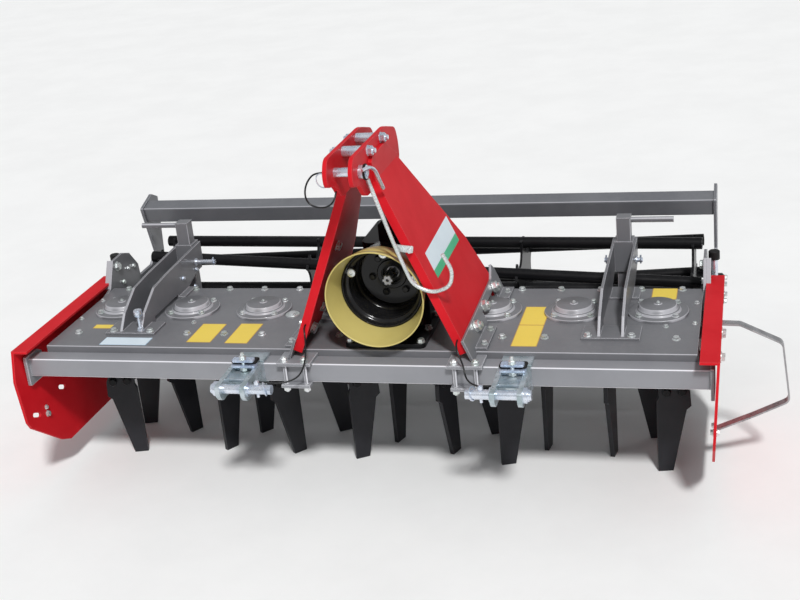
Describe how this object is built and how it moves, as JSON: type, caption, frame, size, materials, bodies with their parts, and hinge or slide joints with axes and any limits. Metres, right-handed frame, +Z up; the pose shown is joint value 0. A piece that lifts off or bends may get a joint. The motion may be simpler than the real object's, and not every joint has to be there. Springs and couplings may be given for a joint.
{
  "type": "power harrow",
  "caption": "Tractor-mounted power harrow with an offset headstock, a row of vertical bladed rotors under a gear trough, side plates, a levelling bar and a cage roller.",
  "frame": {"origin": "on the floor under the middle of the whole machine's bounding box", "axes": "+X to the right of someone who looks at the machine from the tractor, +Y to the rear, away from the tractor, +Z up"},
  "size_m": [2.316, 1.3143, 1.118],
  "materials": {
    "red_paint": "gloss",
    "dark_grey_paint": "satin",
    "light_grey_paint": "satin",
    "black_paint": "satin",
    "blade_steel": "satin",
    "black_plastic": "matt",
    "yellow_plastic": "satin",
    "zinc_plate": "zinc plated",
    "ground_steel": "ground"
  },
  "bodies": {
    "machine": {"arm_feet": "dark_grey_paint", "bar_supports": "dark_grey_paint", "beam_clamps": "light_grey_paint", "beam_end_plates": "light_grey_paint", "beam_gussets": "dark_grey_paint", "bearing_covers": "dark_grey_paint", "bearing_housings": "dark_grey_paint", "cheek_spacers": "zinc_plate", "cup_base": "black_plastic", "cup_collar": "black_plastic", "front_beam": "light_grey_paint", "gear_train": "dark_grey_paint", "gear_trough": "dark_grey_paint", "gearbox": "black_paint", "gearbox_base": "black_paint", "guard_cup": "black_plastic", "headstock_arms": "red_paint", "headstock_cheeks": "red_paint", "hinge_brackets": "dark_grey_paint", "hitch_stacks": "zinc_plate", "input_guard": "yellow_plastic", "left_lanyard": "black_plastic", "lower_hitch_brackets": "zinc_plate", "lower_hitch_pins": "zinc_plate", "post_sleeves": "dark_grey_paint", "right_lanyard": "black_plastic", "shaft_hook": "zinc_plate", "side_bushes": "dark_grey_paint", "side_hoop": "zinc_plate", "side_plates": "red_paint", "top_lanyard": "black_plastic", "top_link_pin": "zinc_plate", "top_plate": "dark_grey_paint"},
    "rotor_1": {"rotor_hub_1": "black_paint", "tines_1": "blade_steel"},
    "rotor_2": {"rotor_hub_2": "black_paint", "tines_2": "blade_steel"},
    "rotor_3": {"rotor_hub_3": "black_paint", "tines_3": "blade_steel"},
    "rotor_4": {"rotor_hub_4": "black_paint", "tines_4": "blade_steel"},
    "rotor_5": {"rotor_hub_5": "black_paint", "tines_5": "blade_steel"},
    "rotor_6": {"rotor_hub_6": "black_paint", "tines_6": "blade_steel"},
    "rotor_7": {"rotor_hub_7": "black_paint", "tines_7": "blade_steel"},
    "rotor_8": {"rotor_hub_8": "black_paint", "tines_8": "blade_steel"},
    "drive_input": {"input_shaft": "ground_steel"},
    "roller_frame": {"roller_frame_ends": "light_grey_paint", "cross_tube": "light_grey_paint", "roller_bearings": "black_paint"},
    "roller": {"roller_tubes": "black_paint", "roller_stars": "black_paint", "roller_shaft": "black_paint"},
    "levelling": {"levelling_bar": "black_paint", "levelling_posts": "dark_grey_paint"}
  },
  "joints": [
    {"name": "rotor_1_spin", "type": "hinge", "parent": "machine", "child": "rotor_1", "pos_m": [-0.96996, -0.11766, 0.29], "axis": [0, 0, 1], "continuous": true},
    {"name": "rotor_2_spin", "type": "hinge", "parent": "machine", "child": "rotor_2", "pos_m": [-0.71996, -0.11766, 0.29], "axis": [0, 0, 1], "continuous": true},
    {"name": "rotor_3_spin", "type": "hinge", "parent": "machine", "child": "rotor_3", "pos_m": [-0.46996, -0.11766, 0.29], "axis": [0, 0, 1], "continuous": true},
    {"name": "rotor_4_spin", "type": "hinge", "parent": "machine", "child": "rotor_4", "pos_m": [-0.21996, -0.11766, 0.29], "axis": [0, 0, 1], "continuous": true},
    {"name": "rotor_5_spin", "type": "hinge", "parent": "machine", "child": "rotor_5", "pos_m": [0.03004, -0.11766, 0.29], "axis": [0, 0, 1], "continuous": true},
    {"name": "rotor_6_spin", "type": "hinge", "parent": "machine", "child": "rotor_6", "pos_m": [0.28004, -0.11766, 0.29], "axis": [0, 0, 1], "continuous": true},
    {"name": "rotor_7_spin", "type": "hinge", "parent": "machine", "child": "rotor_7", "pos_m": [0.53004, -0.11766, 0.29], "axis": [0, 0, 1], "continuous": true},
    {"name": "rotor_8_spin", "type": "hinge", "parent": "machine", "child": "rotor_8", "pos_m": [0.78004, -0.11766, 0.29], "axis": [0, 0, 1], "continuous": true},
    {"name": "input_spin", "type": "hinge", "parent": "machine", "child": "drive_input", "pos_m": [0.00704, -0.30066, 0.648], "axis": [0, -1, 0], "continuous": true},
    {"name": "roller_frame_tilt", "type": "hinge", "parent": "machine", "child": "roller_frame", "pos_m": [-0.09496, 0.18234, 0.4], "axis": [1, 0, 0], "range_deg": [-18, 10]},
    {"name": "roller_spin", "type": "hinge", "parent": "roller_frame", "child": "roller", "pos_m": [-0.09496, 0.45734, 0.32], "axis": [1, 0, 0], "continuous": true},
    {"name": "levelling_slide", "type": "slide", "parent": "machine", "child": "levelling", "axis": [0, 0, 1], "range_m": [-0.045, 0.06]}
  ],
  "couplings": [
    {"joint": "rotor_2_spin", "follows": "rotor_1_spin", "ratio": -1},
    {"joint": "rotor_3_spin", "follows": "rotor_1_spin", "ratio": 1},
    {"joint": "rotor_4_spin", "follows": "rotor_1_spin", "ratio": -1},
    {"joint": "rotor_5_spin", "follows": "rotor_1_spin", "ratio": 1},
    {"joint": "rotor_6_spin", "follows": "rotor_1_spin", "ratio": -1},
    {"joint": "rotor_7_spin", "follows": "rotor_1_spin", "ratio": 1},
    {"joint": "rotor_8_spin", "follows": "rotor_1_spin", "ratio": -1},
    {"joint": "input_spin", "follows": "rotor_1_spin", "ratio": 1.8}
  ]
}
